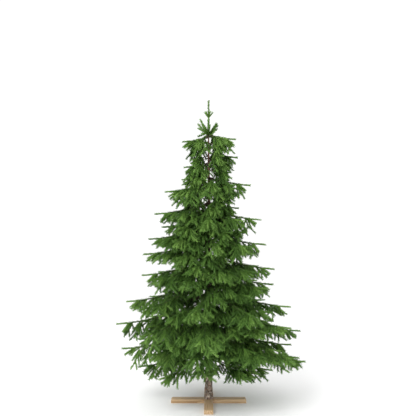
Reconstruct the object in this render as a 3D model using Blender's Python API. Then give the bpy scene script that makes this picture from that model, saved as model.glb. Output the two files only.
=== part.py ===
"""A cut Douglas fir Christmas tree, about 2.4 m tall, on a plain cross stand of two boards.

Metres, +Z up. The origin is on the floor under the middle of the stand. The tree's front
faces -Y, so its right side is at +X. Heights named "above the cut" count from the flat
foot of the trunk.

The crown is built from tiers of drooping foliage. Every tier is half a ring, on the left or
on the right of the trunk, and one bough carries it. The tiers of the two sides lie at
different heights, as the boughs do.
"""

import math
import random

import bmesh
import bpy
from mathutils import Vector

GAP = 0.0003  # between pieces that touch

# Stand: two boards, half lapped into a cross
BOARD_LENGTH = 0.60
BOARD_WIDTH = 0.07
BOARD_THICKNESS = 0.03
BOARD_CHAMFER = 0.008

# Trunk
CUT = BOARD_THICKNESS + GAP
TREE_HEIGHT = 2.392  # above the cut, as are all heights of the tree
TRUNK_SIDES = 16
FOOT_RADIUS = 0.030  # without the flare
TIP_RADIUS = 0.0025
FLARE = 0.0078  # added to the radius at the cut
FLARE_HEIGHT = 0.065  # in which the flare falls to about a third
FLARE_STATIONS = (0.0, 0.02, 0.05, 0.09, 0.14)
TRUNK_STATIONS = 13  # above the flare, up to the straight top
STRAIGHT_TOP = 2.09  # from here up the leader is one straight cone
SWAY = 0.0035
SWAY_PERIOD = 1.25

# Tiers from the top down: reach of the longest bough, height of its tip
LEFT_TIERS = (
    (0.219, 2.057),
    (0.207, 1.852),
    (0.223, 1.752),
    (0.358, 1.655),
    (0.440, 1.477),
    (0.383, 1.372),
    (0.490, 1.276),
    (0.531, 1.154),
    (0.542, 0.986),
    (0.669, 0.775),
    (0.746, 0.596),
    (0.705, 0.398),
    (0.575, 0.252),
)
RIGHT_TIERS = (
    (0.226, 2.076),
    (0.242, 1.930),
    (0.345, 1.708),
    (0.250, 1.524),
    (0.429, 1.431),
    (0.467, 1.232),
    (0.536, 1.036),
    (0.528, 0.912),
    (0.666, 0.732),
    (0.743, 0.540),
    (0.669, 0.428),
    (0.784, 0.292),
    (0.520, 0.225),
)

# Lie of a bough
TOP_DROOP = 0.16  # fall of a bough from trunk to tip, as a share of its reach
FOOT_DROOP = 0.25
BEND = 1.5  # how late a bough levels out
FRONT_LIFT = 0.10  # the lowest tiers are higher in front and behind, where the trunk shows
LIFTED_BELOW = 0.60
LIFT_RANGE = 0.35

# Body of a tier
INNER_SHARE = 0.15  # bare inner part of a bough, as a share of its reach
INNER_LEAST = 0.040
SEAM = math.radians(5)  # half of the gap between the left and the right tiers
SEAM_SWING = math.radians(22)
SEAM_PERIOD = 1.9
BACK_SWING = 0.6  # of the swing in front
ROOM_USED = 0.82  # of the free height down to the next tier
ROOM_KEPT = 0.006
ROOM_MOST = 0.125
ROOM_OF_REACH = 0.50
LOWEST_ROOM = 0.145
CROWN_RISE = 0.014  # foliage above the bough
RIM = 0.005
RINGS = (0.0, 0.33, 0.64, 0.87, 1.0)
FULLNESS = (0.50, 0.88, 0.95, 0.20, 0.0)  # depth of the foliage at each ring
OUTER_FULLNESS = 0.95  # added at the last but one ring for each metre of reach
OUTER_RING = 3
UNEVEN = 0.13  # of that depth
WALL_SETBACK = 1.06  # the inner wall beside the seat
VALLEY = 0.74  # reach between two boughs
VALLEY_SPREAD = (0.92, 1.06)
VALLEY_SINK = 0.5  # how much lower the foliage lies there
SHOULDER = 0.87
SHOULDER_TURN = 0.2  # from the tip, as a share of the bough's width
SMALL_REACH = 0.33  # shorter tiers have three boughs, others four
LARGE_REACH = 0.48  # and longer ones five
SHORTEST = 0.82  # of the other boughs in a tier
BOUGH_STRAY = 0.1  # from even spacing
SEAT_HALF_ANGLE = math.radians(11)
SEAT_DEPTH = 0.4  # where the bough comes in, down from the wall's top

# Boughs
BOUGH_SIDES = 8
BOUGH_LEAST = 0.0035
BOUGH_GROWTH = 0.0085  # added to the radius for each metre of reach
BOUGH_COLLAR = 1.35
BOUGH_STATIONS = ((0.0, BOUGH_COLLAR), (0.2, 1.0), (1.0, 0.8))  # share of its run, thickness
COLLAR_MARGIN = 1.1

# Top of the tree: one small rising tier on each side, then the leader's own needles
TOP_TIERS = (("left", 0.104, 2.205), ("right", 0.098, 2.196))
TOP_RISE = 0.062
TOP_ROOM = 0.034
LEADER_SIDES = 8
LEADER_FOOT = 2.172
LEADER_WHORL = 2.252
LEADER_WHORL_DEPTH = 0.022
LEADER_SHOOT_REACH = 0.037
LEADER_SHOOT_RISE = 0.036
LEADER_END = 2.386
LEADER_FOLIAGE = 0.0095

SIDE_SIGN = {"left": -1.0, "right": 1.0}


def make_material(name, colour, roughness):
    material = bpy.data.materials.new(name)
    material.use_nodes = True
    shader = material.node_tree.nodes["Principled BSDF"]
    shader.inputs["Base Color"].default_value = (*colour, 1.0)
    shader.inputs["Roughness"].default_value = roughness
    shader.inputs["Metallic"].default_value = 0.0
    material.diffuse_color = (*colour, 1.0)
    return material


def add_object(name, body, material, sharp_angle=None):
    bmesh.ops.recalc_face_normals(body, faces=body.faces)
    if body.calc_volume(signed=True) < 0.0:
        bmesh.ops.reverse_faces(body, faces=body.faces)
    mesh = bpy.data.meshes.new(name)
    body.to_mesh(mesh)
    body.free()
    mesh.materials.append(material)
    if sharp_angle is not None:
        mesh.shade_smooth()
        mesh.set_sharp_from_angle(angle=math.radians(sharp_angle))
    piece = bpy.data.objects.new(name, mesh)
    bpy.context.collection.objects.link(piece)
    return piece


def drawn_through(rings):
    """A body whose first ring is filled and extruded through the others."""
    body = bmesh.new()
    cap = body.faces.new([body.verts.new(point) for point in rings[0]])
    for number, ring in enumerate(rings[1:]):
        drawn = bmesh.ops.extrude_face_region(body, geom=[cap])
        if number:
            bmesh.ops.delete(body, geom=[cap], context="FACES_ONLY")
        cap = next(part for part in drawn["geom"] if isinstance(part, bmesh.types.BMFace))
        for vertex, point in zip(cap.verts, ring):
            vertex.co = point
    return body


def bent_block(columns, rings, place):
    """A thin block of columns by rings, each corner put where place(column, ring, upper) says."""
    body = bmesh.new()
    bmesh.ops.create_grid(body, x_segments=columns - 1, y_segments=rings - 1, size=0.5)
    drawn = bmesh.ops.extrude_face_region(body, geom=body.faces[:])
    for part in drawn["geom"]:
        if isinstance(part, bmesh.types.BMVert):
            part.co.z = 1.0
    for vertex in body.verts:
        column = round((vertex.co.x + 0.5) * (columns - 1))
        ring = round((vertex.co.y + 0.5) * (rings - 1))
        vertex.co = place(column, ring, vertex.co.z > 0.5)
    return body


def mixed(low, high, share):
    return low + (high - low) * share


def eased(share):
    share = min(max(share, 0.0), 1.0)
    return share * share * (3.0 - 2.0 * share)


# Stand


def lapped_board(name, lengthwise, notch_low, notch_high, material):
    """A board along X or Y, notched at its middle between two heights."""
    half = BOARD_LENGTH / 2
    notch = BOARD_WIDTH / 2 + GAP
    upper_notch = notch_high >= BOARD_THICKNESS
    outline = [(-half, 0.0)]
    if not upper_notch:
        outline += [(-notch, 0.0), (-notch, notch_high), (notch, notch_high), (notch, 0.0)]
    outline += [(half, 0.0), (half, BOARD_THICKNESS - BOARD_CHAMFER)]
    outline += [(half - BOARD_CHAMFER, BOARD_THICKNESS)]
    if upper_notch:
        outline += [(notch, BOARD_THICKNESS), (notch, notch_low)]
        outline += [(-notch, notch_low), (-notch, BOARD_THICKNESS)]
    outline += [(BOARD_CHAMFER - half, BOARD_THICKNESS), (-half, BOARD_THICKNESS - BOARD_CHAMFER)]
    sides = []
    for across in (-BOARD_WIDTH / 2, BOARD_WIDTH / 2):
        if lengthwise == "x":
            sides.append([Vector((along, across, height)) for along, height in outline])
        else:
            sides.append([Vector((across, along, height)) for along, height in outline])
    return add_object(name, drawn_through(sides), material)


def build_stand(material):
    half_lap = BOARD_THICKNESS / 2
    lapped_board("stand_board_lower", "x", half_lap - GAP / 2, BOARD_THICKNESS, material)
    lapped_board("stand_board_upper", "y", 0.0, half_lap + GAP / 2, material)


# Trunk


def trunk_stations():
    step = (STRAIGHT_TOP - FLARE_STATIONS[-1]) / TRUNK_STATIONS
    above = [FLARE_STATIONS[-1] + step * number for number in range(1, TRUNK_STATIONS + 1)]
    return [*FLARE_STATIONS, *above, TREE_HEIGHT]


def station_shape(height):
    """Centre and radius of the trunk where it has a ring of corners."""
    taper = mixed(FOOT_RADIUS, TIP_RADIUS, height / TREE_HEIGHT)
    radius = taper + FLARE * math.exp(-height / FLARE_HEIGHT)
    hold = eased(height / 0.6) * eased((STRAIGHT_TOP - height) / 0.5)
    turn = 2 * math.pi * height / SWAY_PERIOD
    return SWAY * hold * math.sin(turn), SWAY * hold * math.cos(turn + 0.7), radius


def trunk_shape(height):
    """Centre and radius at any height, as straight between stations as the faces are."""
    stations = trunk_stations()
    for low, high in zip(stations, stations[1:]):
        if height <= high:
            share = (height - low) / (high - low)
            return [mixed(a, b, share) for a, b in zip(station_shape(low), station_shape(high))]
    return station_shape(stations[-1])


def trunk_side(low, high, sign):
    """How far the flat side facing +X or -X reaches from the middle between two heights."""
    corners = [low, high, *[height for height in trunk_stations() if low < height < high]]
    distances = []
    for height in corners:
        x, _, radius = trunk_shape(height)
        distances.append(radius * math.cos(math.pi / TRUNK_SIDES) + sign * x)
    return max(distances)


def trunk_ring(height):
    """Corners half a side off the axes, so that flat sides face +X, -X, +Y and -Y."""
    x, y, radius = station_shape(height)
    ring = []
    for number in range(TRUNK_SIDES):
        angle = 2 * math.pi * (number + 0.5) / TRUNK_SIDES
        ring.append(Vector((x + radius * math.cos(angle), y + radius * math.sin(angle), CUT + height)))
    return ring


def build_trunk(material):
    rings = [trunk_ring(height) for height in trunk_stations()]
    add_object("trunk", drawn_through(rings), material, sharp_angle=50)


# Tiers of foliage


class Tier:
    """Half a ring of boughs. Angles are turned from straight out, negative towards the front."""

    def __init__(self, name, side, reach, tip):
        self.name = name
        self.side = SIDE_SIGN[side]
        self.reach = reach
        self.tip = tip
        self.chance = random.Random(name)
        self.inner = max(INNER_LEAST, INNER_SHARE * reach)
        self.fall = mixed(FOOT_DROOP, TOP_DROOP, tip / STRAIGHT_TOP) * reach
        self.lift = FRONT_LIFT * eased((LIFTED_BELOW - tip) / LIFT_RANGE)
        self.room = LOWEST_ROOM  # height for its foliage

    @property
    def root(self):
        return self.tip + self.fall

    def axis_height(self, radius, angle):
        share = min(radius / self.reach, 1.0)
        return self.tip + self.fall * (1.0 - share) ** BEND + self.lift * math.sin(angle) ** 2

    def point(self, radius, angle, height):
        return Vector((self.side * radius * math.cos(angle), radius * math.sin(angle), CUT + height))

    def settle_room(self, below):
        if below is not None:
            shared = min(self.reach, below.reach)
            gaps = []
            for share in RINGS:
                for angle in (0.0, math.pi / 2):
                    height = self.axis_height(share * shared, angle)
                    gaps.append(height - below.axis_height(share * shared, angle))
            self.room = min(gaps) - CROWN_RISE - ROOM_KEPT
        self.room = min(self.room * ROOM_USED, ROOM_MOST, ROOM_OF_REACH * self.reach)

    def bough_angles(self, edge, boughs):
        """Angles of the boughs between straight out and one edge, nearest first."""
        step = edge / (boughs + 0.5)
        angles = []
        for number in range(1, boughs + 1):
            angles.append(step * (number + self.chance.uniform(-BOUGH_STRAY, BOUGH_STRAY)))
        return angles

    def lay_out(self):
        """Angle and reach of each column: a gap, then the shoulder and tip of each bough."""
        swing = self.side * SEAM_SWING * math.sin(2 * math.pi * self.tip / SEAM_PERIOD)
        first = -math.pi / 2 + SEAM + swing
        last = math.pi / 2 - SEAM + swing * BACK_SWING
        in_front = 1 if self.reach < SMALL_REACH else 2
        behind = 2 if self.reach > LARGE_REACH else 1
        tips = self.bough_angles(first, in_front)[::-1]
        main = len(tips)
        tips += [0.0, *self.bough_angles(last, behind)]
        bounds = [first, *[(low + high) / 2 for low, high in zip(tips, tips[1:])], last]
        self.angles = []
        self.reaches = []
        for number, tip_angle in enumerate(tips):
            tip_reach = self.reach
            if number != main:
                tip_reach *= self.chance.uniform(SHORTEST, 1.0)
            valley = (bounds[number], self.reach * VALLEY * self.chance.uniform(*VALLEY_SPREAD))
            side_step = SHOULDER_TURN * (bounds[number + 1] - bounds[number])
            corners = [valley, (tip_angle, tip_reach)]
            if self.chance.random() < 0.5:
                corners.insert(1, (tip_angle - side_step, tip_reach * SHOULDER))
            else:
                corners.append((tip_angle + side_step, tip_reach * SHOULDER))
            for angle, length in corners:
                self.angles.append(angle)
                self.reaches.append(length)
        self.angles.append(last)
        self.reaches.append(self.reach * VALLEY)
        self.seat_column = max(i for i, angle in enumerate(self.angles[:-1]) if angle <= 0.0)

    def inner_wall(self, column):
        """Radius and angle of the wall round the trunk, flat where the bough comes in."""
        beyond = column - self.seat_column
        if beyond in (0, 1):
            turn = SEAT_HALF_ANGLE * (1 if beyond else -1)
            return self.inner / math.cos(turn), turn
        return self.inner * WALL_SETBACK, self.angles[column]

    def corner(self, column, ring, upper):
        """A corner of the mass: on its upper or its lower face, on one ring of one column."""
        share = RINGS[ring]
        inner, inner_angle = self.inner_wall(column)
        radius = mixed(inner, self.reaches[column], share)
        angle = mixed(inner_angle, self.angles[column], share ** 0.5)
        fullness = FULLNESS[ring]
        if ring == OUTER_RING:
            fullness += OUTER_FULLNESS * self.reach
        depth = self.room * fullness
        height = self.axis_height(radius, angle)
        if ring:
            short_by = 1.0 - self.reaches[column] / self.reach
            height -= short_by * self.room * VALLEY_SINK
            height += self.noise[column, ring, upper] * depth * UNEVEN
        if upper:
            height += CROWN_RISE * (1.0 - share) + RIM * share / 2
        else:
            height -= depth + RIM / 2
        return self.point(radius, angle, height)

    def build(self, material):
        columns = len(self.angles)
        self.noise = {}
        for column in range(columns):
            for ring in range(len(RINGS)):
                for upper in (False, True):
                    self.noise[column, ring, upper] = self.chance.uniform(-1.0, 1.0)
        body = bent_block(columns, len(RINGS), self.corner)
        return add_object("mass_" + self.name, body, material)

    def seat_height(self):
        """Where the bough meets the inner wall."""
        top = [self.corner(self.seat_column + step, 0, True).z for step in (0, 1)]
        foot = [self.corner(self.seat_column + step, 0, False).z for step in (0, 1)]
        return mixed(min(top), max(foot), SEAT_DEPTH) - CUT


def build_bough(tier, material):
    """A tapering limb from a flat side of the trunk to the flat seat in the tier's wall."""
    thick = BOUGH_LEAST + BOUGH_GROWTH * tier.reach
    collar = thick * BOUGH_COLLAR * COLLAR_MARGIN
    start = trunk_side(tier.root - collar, tier.root + collar, tier.side) + GAP
    end = tier.inner - GAP
    start_height = tier.axis_height(start, 0.0)
    run = Vector((end - start, 0.0, tier.seat_height() - start_height))
    slope = run.z / run.x
    rings = []
    for share, size in BOUGH_STATIONS:
        ring = []
        for number in range(BOUGH_SIDES):
            turn = 2 * math.pi * number / BOUGH_SIDES
            up = thick * size * math.cos(turn)
            across = thick * size * math.sin(turn)
            out = start + run.x * share
            height = start_height + run.z * share + up * math.hypot(1.0, slope)
            ring.append(Vector((tier.side * out, across, CUT + height)))
        rings.append(ring)
    add_object("bough_" + tier.name, drawn_through(rings), material, sharp_angle=40)


def tiers_of(side, sizes):
    tiers = []
    for number, (reach, tip) in enumerate(sizes, start=1):
        tiers.append(Tier(f"{side}_{number:02d}", side, reach, tip))
    for tier, below in zip(tiers, [*tiers[1:], None]):
        tier.settle_room(below)
        tier.lay_out()
    return tiers


def build_tiers(bark, needles):
    for side, sizes in (("left", LEFT_TIERS), ("right", RIGHT_TIERS)):
        for tier in tiers_of(side, sizes):
            tier.build(needles)
            build_bough(tier, bark)


# Top of the tree


def build_top_tiers(material):
    """Two small rising tiers that sit on the leader itself."""
    for side, reach, tip in TOP_TIERS:
        tier = Tier("top_" + side, side, reach, tip)
        tier.fall = -TOP_RISE
        tier.room = TOP_ROOM
        lowest = tier.root - TOP_ROOM
        radius = trunk_shape(lowest)[2]
        tier.inner = (radius + GAP) / math.cos(SEAT_HALF_ANGLE)
        tier.lay_out()
        tier.build(material)


def leader_profile(number):
    """A closed section of the leader's needles, long where a shoot stands out."""
    hole_scale = 1.0 / math.cos(math.pi / LEADER_SIDES)
    hole_foot = (trunk_shape(LEADER_FOOT)[2] + GAP) * hole_scale
    hole_end = (trunk_shape(LEADER_END)[2] + GAP) * hole_scale
    shoot = number % 2 == 0
    shoot_reach = LEADER_SHOOT_REACH if shoot else LEADER_FOLIAGE * 1.3
    shoot_rise = LEADER_SHOOT_RISE if shoot else LEADER_WHORL_DEPTH / 2
    return (
        (hole_foot, LEADER_FOOT),
        (LEADER_FOLIAGE * 0.9, LEADER_FOOT + 0.004),
        (LEADER_FOLIAGE, LEADER_WHORL),
        (shoot_reach, LEADER_WHORL + shoot_rise),
        (LEADER_FOLIAGE, LEADER_WHORL + LEADER_WHORL_DEPTH),
        (LEADER_FOLIAGE * 0.7, LEADER_END - 0.02),
        (hole_end + 0.001, LEADER_END),
        (hole_end, LEADER_END),
    )


def build_leader_needles(material):
    body = bmesh.new()
    columns = []
    for number in range(LEADER_SIDES):
        angle = 2 * math.pi * number / LEADER_SIDES
        column = []
        for radius, height in leader_profile(number):
            place = (radius * math.cos(angle), radius * math.sin(angle), CUT + height)
            column.append(body.verts.new(place))
        columns.append(column)
    for column, following in zip(columns, [*columns[1:], columns[0]]):
        for i in range(len(column)):
            j = (i + 1) % len(column)
            body.faces.new((column[i], following[i], following[j], column[j]))
    add_object("mass_leader", body, material)


def main():
    for piece in list(bpy.data.objects):
        bpy.data.objects.remove(piece)
    bark = make_material("bark", (0.150, 0.110, 0.080), 0.90)
    needles = make_material("needles", (0.062, 0.105, 0.028), 0.60)
    wood = make_material("stand_wood", (0.520, 0.360, 0.205), 0.65)
    build_stand(wood)
    build_trunk(bark)
    build_tiers(bark, needles)
    build_top_tiers(needles)
    build_leader_needles(needles)


main()
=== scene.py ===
"""The looks of a cut Douglas fir Christmas tree on a plain cross stand of two boards.

The crown grows on from the trunk and the boughs of the frame by one seeded rule: every tip
in the rim of a mass of foliage is the end of a bough, a bough carries laterals, and both
carry drooping shoots with needles all round. Metres, +Z up, the tree's front faces -Y.
A pair of values is the least and the most of a random draw, unless its comment says more.
"""

import math
import random

import bpy
import numpy as np
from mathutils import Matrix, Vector, noise


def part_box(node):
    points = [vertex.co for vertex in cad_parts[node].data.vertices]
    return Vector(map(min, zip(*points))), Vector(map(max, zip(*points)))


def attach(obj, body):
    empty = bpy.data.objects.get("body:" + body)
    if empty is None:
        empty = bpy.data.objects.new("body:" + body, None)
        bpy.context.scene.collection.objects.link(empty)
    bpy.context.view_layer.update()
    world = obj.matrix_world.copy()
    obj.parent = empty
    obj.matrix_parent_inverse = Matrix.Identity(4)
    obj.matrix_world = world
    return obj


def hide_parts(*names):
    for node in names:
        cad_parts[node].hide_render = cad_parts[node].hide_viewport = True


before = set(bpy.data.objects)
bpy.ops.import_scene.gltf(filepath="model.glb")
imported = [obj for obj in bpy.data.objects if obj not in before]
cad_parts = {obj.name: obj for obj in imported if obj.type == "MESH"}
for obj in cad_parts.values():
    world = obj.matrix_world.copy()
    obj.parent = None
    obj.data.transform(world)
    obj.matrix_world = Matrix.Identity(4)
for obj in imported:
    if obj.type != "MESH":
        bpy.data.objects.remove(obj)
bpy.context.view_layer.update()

UP = Vector((0.0, 0.0, 1.0))
SIDES = ("left", "right")
TIERS = 13  # on each side
SEED = 2

# Camera and light
CAMERA_PLACE = (-0.005, -4.85, 1.556)
CAMERA_LENS = 52.3  # millimetres, as is the sensor
CAMERA_SENSOR = 36.0
SKY_STRENGTH = 1.08
KEY_PLACE = (-2.2, -3.6, 4.6)
KEY_SIZE = 3.5
KEY_POWER = 170.0
KEY_AIM = (0.0, 0.0, 1.1)
FLOOR_HALF = 20.0
FLOOR_GREY = 0.95
FLOOR_ROUGHNESS = 0.9

# Finishes
BUMP_STRENGTH = 0.8
TRUNK_BUMP = 0.0016
TWIG_BUMP = 0.0006
BOARD_BUMP = 0.0004
BOARD_BAND = 0.0105  # a year's growth across a board
LEADER_GREENS = (2.10, 2.19)  # heights between which the bark turns green
LEADER_BARK = (0.072, 0.118, 0.030, 1.0)
NEEDLE_ROUGHNESS = 0.50
NEEDLE_SPECULAR = 0.2
# The levels are partly the lighter young growth at the outer tips and partly painted shade: needles
# nearer the trunk and inside the crown get darker greens.
GREENS = (  # from the darkest, level 0, to the lightest, level 1
    (0.040, 0.093, 0.017),
    (0.060, 0.134, 0.024),
    (0.082, 0.177, 0.032),
    (0.109, 0.224, 0.041),
    (0.142, 0.273, 0.053),
    (0.182, 0.330, 0.068),
)

# Reading the frame
RING_DECIMALS = 4  # of the height of a ring of the trunk
RING_CORNERS = 0.0006  # how close to that height its corners are
LIMB_CORNERS = 0.0005  # how close to its inner end the corners of a limb's root are
TIP_WINDOW = math.radians(13)  # a tip is the furthest corner within this angle
TIP_LEAST = 0.80  # of the tier's reach
TIP_EVEN = 1e-5  # reaches that differ by less are the same
TIP_TURN = 0.01  # corners of one tip lie within this angle and this depth
TIP_DEPTH = 1e-4
TIP_APART = 0.01

# Trunk
TRUNK_BEVEL = 22  # gives 48 sides
FOOT_TOP = 0.40  # below it the rings of corners are closer
FOOT_STEP = 0.006
STEM_STEP = 0.022
CUT_FACES = 0.01  # a cap this close above the cut is sawn wood
TRUNK_SMOOTH = math.radians(60)

# Relief of the bark
TRUNK_PLATE = 0.011
TRUNK_RELIEF = 0.0022
THIN_RELIEF = 0.07  # of the radius, on thin wood
BOUGH_PLATE = 0.007
BOUGH_RELIEF = 0.0006
PLATE_FLATTENED = 0.5  # heights are halved, so that plates are higher than wide
PLATE_EDGE = 0.5  # from the crack to the flat of a plate, in plates
CRACK_SHARE = 0.7  # of the relief that goes inwards
RIDGE_SHARE = 0.6
ROUGH_SHARE = 0.5
ROUGH_SCALE = 2.1
ROUGH_FALL = 0.8
ROUGH_STEP = 2.0
ROUGH_LAYERS = 3

# Boughs
BEND = 1.5  # how late a bough levels out
STRAY = 0.03  # sideways bow, as a share of the length
WAVE = 0.012  # sideways wave on it, as a share of the length
WAVE_TURN = 9.0
HEADING_STEP = 0.01
ROOT_SINK = 0.7  # where in the trunk's radius a bough starts
ROOT_STRAY = 0.018
BOUGH_THICKNESS = 0.75  # of the limb in the frame
SIDE_BOUGH = 0.72  # thickness of the other boughs beside the one in the frame
BOUGH_LEVELS = (0.40, 0.62)  # of its green
BOUGH_TIP_RADIUS = 0.0018
BOUGH_TAPER = 0.8
COLLAR = 0.5  # how much thicker a bough is right at the trunk
COLLAR_LENGTH = 0.03
BOUGH_STEP = 0.045
BOUGH_LEAST_STEPS = 6
BOUGH_BEVEL = 2  # gives 8 sides
TWIG_BEVEL = 0  # gives 4 sides
BOUGH_SMOOTH = math.radians(70)
TIP_NEEDLE = 0.009  # of needles beyond the end of a shoot

# Needles on the bough itself
NEEDLED_FROM = 0.28
NEEDLED_PARTS = 4
# Needles on the bough itself get a darker green: painted shade near the trunk.
NEEDLED_LEVEL = -0.1  # added to the bough's own
NEEDLED_CLOSE = 1.3
NEEDLED_RADIUS = 1.5  # over the radius of the wood
STICK = 0.092  # the straight end of a bough, without side shoots
STICK_SHARE = 0.36  # of a short bough's length
STICK_RADIUS = 0.0064
# The bough's end gets a lighter green: young growth, and the outer end of the painted shade that
# darkens the inner needles.
STICK_LEVEL = 0.20  # added to the bough's own, as LAST_LEVEL is

# Tiers
WIDE_LATERALS = {1: 1.5, 2: 1.4, 3: 1.3, 4: 1.15}  # lengths in a tier with few tips
FRONT_LIFTS = {"left_13": -0.05, "right_10": 0.07, "right_12": 0.09}  # of forward boughs' tips
FORWARD = 0.05  # which are further than this in front of the trunk's middle
ASIDE = 0.25  # and further than this to its side
TIER_DIPS = {  # tiers whose laterals hang more or less steeply than the rest, at the sides
    "left_07": -0.15,
    "left_08": -0.30,
    "left_09": 0.10,
    "left_10": -0.12,
    "left_11": 0.42,
    "left_12": 0.30,
    "left_13": 0.50,
    "right_05": 0.20,
    "right_06": 0.10,
    "right_09": -0.12,
    "right_10": -0.35,
    "right_12": -0.40,
}

# Short boughs between the tiers
BETWEEN_REACH = (0.58, 0.80)
BETWEEN_TURNS = (0.35, 0.65)  # where between two boughs of the tier
BETWEEN_PLACES = (0.3, 0.7)  # where in the height of its row
BETWEEN_SLOPE = 0.8  # of the tier's own
BETWEEN_THICKNESS = 0.5
# Lower than the main boughs' greens: painted shade on these inner boughs.
BETWEEN_LEVELS = (0.2, 0.5)  # of their greens
BETWEEN_GAPS = (0.08, 0.185)  # heights between tiers that take one row of them, and two
FULL_TIER = 5  # from here down they also close the front and the back of the tree
PAST_FRONT = 0.5  # radians beyond the first and the last tip of the tier
PAST_BACK = 0.4

# Laterals
LATERAL_STEP = 0.055
LATERAL_FROM = 0.24
LATERAL_PLACES = (0.15, 0.85)  # where in its step of the bough
LATERAL_CROWDING = 0.75  # below 1, they stand closer towards the tip
LEAST_LATERALS = 3
LATERAL_TURN = math.radians(48)
LATERAL_TURN_STRAY = math.radians(10)
LATERAL_LEAST = (0.125, 0.115)  # lengths near the trunk and near the tip
LATERAL_WIDEST = 0.52
LATERAL_LENGTHS = (0.11, 0.26)  # at both ends of the bough and at the widest, of its length
LATERAL_SIZES = (0.85, 1.12)
LATERAL_RADIUS = 0.0018
LATERAL_TIP_RADIUS = 0.0008
LATERAL_STATIONS = (0.0, 0.35, 0.7, 0.95)
LATERAL_BARE = 0.12  # share without needles next to the bough
LATERAL_FOLLOWS = 0.6  # how far a lateral takes up the dip of its bough
LATERAL_DIP = (0.24, 0.62)
LATERAL_SAG = (0.04, 0.13)
SHORT_BOUGH = 0.45
OUTER_DIP = 0.14
SHORT_DIP = 0.70  # laterals of shorter boughs hang more steeply
SPRAY_STRAY = 0.12  # of a lateral's green from its bough's
# Darker near the trunk and lighter at the tip: partly young growth at the tip, partly painted shade
# on the inner sprays.
SPRAY_RISE = 0.18  # how much lighter it is at the tip than at the trunk

# The shoot on the bough across from each lateral
PARTNER_SIZES = (0.75, 1.05)
PARTNER_MOST = 0.42  # of the bough's length
PARTNER_TURNS = (0.15, 0.75)
PARTNER_PITCHES = (0.5, 1.0)
PARTNER_SAG = 0.05

# The shoots round the end of the laterals, before the stick
LAST_SHOOTS = 6
LAST_SIZES = (0.80, 1.05)
LAST_MOST = 0.45  # of the bough's length
LAST_TURNS = (0.15, 0.65)
LAST_PITCHES = (0.5, 1.1)
# Lighter shoots round the end of the laterals: young growth, and the outer end of the painted shade.
LAST_LEVEL = 0.25
COMB_END = 0.022  # from the last lateral to the stick
COMB_END_MOST = 0.06  # of a short bough's length

# Shoots of the laterals
SHOOT_STEP = 0.042
SHOOTS_OF_LENGTH = 0.92  # share of a lateral's length that has a pair of shoots at each step
SHOOTS_FROM = 0.06  # share of its length where they begin
SHOOTS_OVER = 0.82  # and over which they are dealt out
SHOOT_PLACES = (0.2, 0.8)  # where in its step of the lateral
SHOOT_LENGTH = 0.094
SHOOT_SIZES = (0.78, 1.10)
SHOOT_OUTER = 0.72  # size at the lateral's tip
SHOOT_MOST = 0.50  # of a short lateral's length
SHOOT_MOST_MORE = 0.045  # and this much beyond that
SHOOT_TURN = math.radians(43)
SHOOT_TURN_STRAY = 0.16
SHOOT_DROOP = (0.05, 0.45)
SHOOT_SAG = (0.0, 0.08)
SHOOT_RADIUS = 0.0064
# Lighter towards the lateral's tip: partly young growth, partly painted shade on the inner shoots.
SHOOT_LEVEL = 0.12  # how much lighter at the lateral's tip
GREEN_STRAY = 0.24  # of each shoot's level
MISSING = (0.42, 0.08)  # share of the shoots left out, in the top tier and from MISSING_TIERS on
MISSING_TIERS = 5
HEM = 0.15  # no lateral's shoot ends lower than this
HEM_RISE = 0.30  # and that rises forward, for each metre in front of the trunk

# Top of the tree
TOP_FOOT = 0.085  # below the tips of its rising shoots
TOP_FOOT_STRAY = 0.015
TOP_FINGERS = ((1.0, 1.15), (0.80, 1.0), (0.60, 0.9), (-0.30, 0.8))  # rise, length
TOP_MORE = 0.02  # reach past the tip of the mass
TOP_ASIDE = 0.45
TOP_SIZES = (0.9, 1.1)
TOP_RISE_STRAY = 0.12
TOP_LEVEL = 0.6
TOP_CLOSE = 1.4
TOP_RADII = (0.0026, 0.001)  # at the foot and the tip
TOP_STATIONS = (0.0, 0.5, 0.97)

# Leader
LEADER_BELOW = 0.06  # needles on the stem below the leader's own mass
LEADER_STEP = 0.04
LEADER_END = 0.004  # from the last shoot to the top of the mass
LEADER_LEAST_STEP = 0.001
LEADER_LEAST_RADIUS = 0.0085
LEADER_RADIUS = 1.12  # over the radius of the stem
LEADER_LEVEL = 0.6
LEADER_SPREAD = 1.5  # of the spread on a stick
LEADER_CLOSE = 1.2  # over the needles on a stick
WHORL_HEIGHT = 0.080  # above the foot of the leader's mass
WHORL_SHOOTS = 5
WHORL_TURN = 8  # degrees, of the first shoot
WHORL_RISE = 0.038
WHORL_SAG = -0.004
WHORL_END = 0.004  # from a shoot's end to the side of the mass
WHORL_LEVEL = 0.65
WHORL_SPREAD = 1.4  # of the spread on a stick

# Needles
NEEDLES_PER_METRE = 565.0
LEAST_NEEDLES = 3
NEEDLE_LENGTH = 0.0140
NEEDLE_SIZES = (0.85, 1.08)
NEEDLE_HALF_WIDTH = 0.0020
NEEDLE_ENDS = (0.85, 0.62)  # width at the foot and at the blunt tip, as a share
NEEDLE_SHORTER = 0.20  # at the shoot's tip
NEEDLE_SPREAD = math.radians(38)
NEEDLE_SPREAD_STRAY = 0.14
NEEDLE_OPENING = 0.35  # how much further needles lean out at the shoot's tip
NEEDLE_TURN = 2.39996  # radians from one to the next, round the shoot
NEEDLE_TURN_STRAY = 0.5
NEEDLE_ROLL = 0.45
NEEDLE_LIFT = 0.06  # how much they all turn up
NEEDLE_SINK = 0.6  # where in the shoot's thickness a needle starts
STICK_SPREAD = math.radians(21)
CLOSE = 1.5  # how much denser needles stand on leading shoots
NEEDLES_IN_PIECE = 92000

# Stems in the shoots
STEM_SIDES = 3
STEM_RINGS = (0.0, 0.9)  # places of its two rings of corners, as shares of the shoot
STEM_THICKNESS = 0.9
STEM_END = 1.03
STEM_TURN = 0.5

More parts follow.
